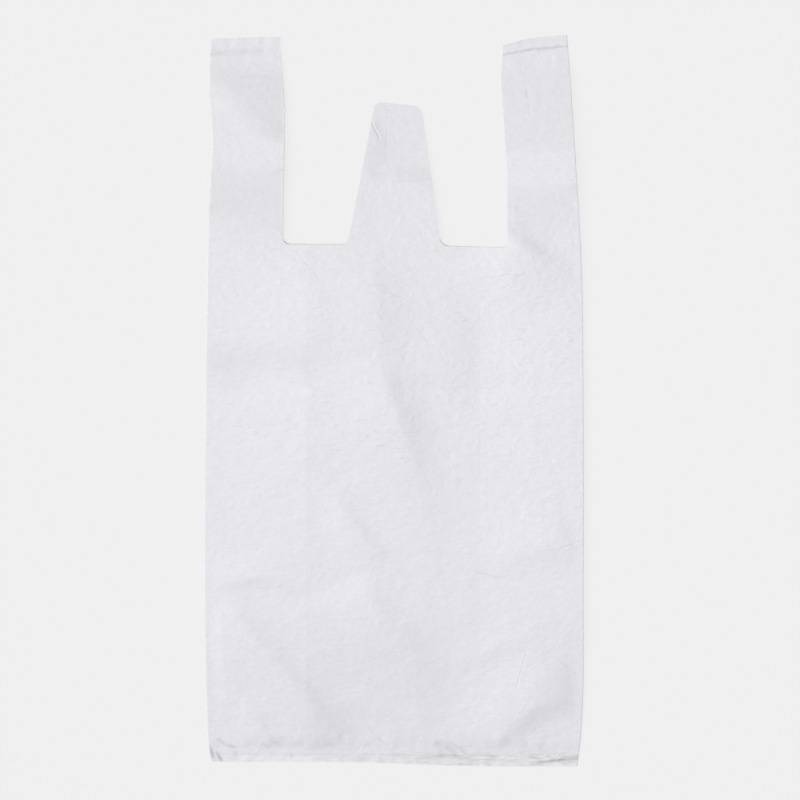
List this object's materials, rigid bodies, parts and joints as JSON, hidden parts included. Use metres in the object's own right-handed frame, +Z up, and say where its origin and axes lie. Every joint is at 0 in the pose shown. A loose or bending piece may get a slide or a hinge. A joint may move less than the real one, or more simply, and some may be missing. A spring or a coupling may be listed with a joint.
{
  "type": "plastic carrier bag",
  "caption": "White film vest carrier lying flat, with side gussets, loop handles welded at the top, a hanging tab between them and a welded bottom.",
  "frame": {"origin": "on the surface the bag lies on, under the middle of its outline", "axes": "+Z up from the back panel to the front panel, +Y from the welded bottom to the handles, +X to the right seen from above"},
  "size_m": [0.2843, 0.5482, 0.009],
  "materials": {
    "film": "white high-density polyethylene film, faintly cool, with a soft sheen"
  },
  "bodies": {
    "root": {"carrier_bag": "film"}
  },
  "joints": []
}
